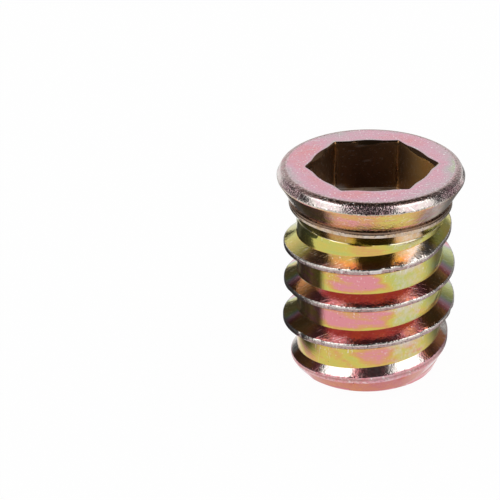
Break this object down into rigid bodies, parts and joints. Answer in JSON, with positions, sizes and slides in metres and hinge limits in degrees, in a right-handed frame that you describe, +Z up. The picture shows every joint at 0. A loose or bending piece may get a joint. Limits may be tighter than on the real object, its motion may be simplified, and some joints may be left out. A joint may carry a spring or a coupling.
{
  "type": "threaded insert",
  "caption": "Flanged threaded insert for wood: a hexagon socket in a round flange, a coarse outer thread on a straight barrel, and a metric threaded bore right through.",
  "frame": {"origin": "centre of the lower end face, on the axis", "axes": "+Z up the axis towards the flange, +X through a corner of the hexagon socket, +Y where the outer thread leaves the end face"},
  "size_m": [0.017, 0.017, 0.02],
  "materials": {
    "zinc_plate": "steel with an iridescent yellow zinc chromate plating: gold, pink and green tints, silver on the worn edges"
  },
  "bodies": {
    "root": {"insert": "zinc_plate"}
  },
  "joints": []
}
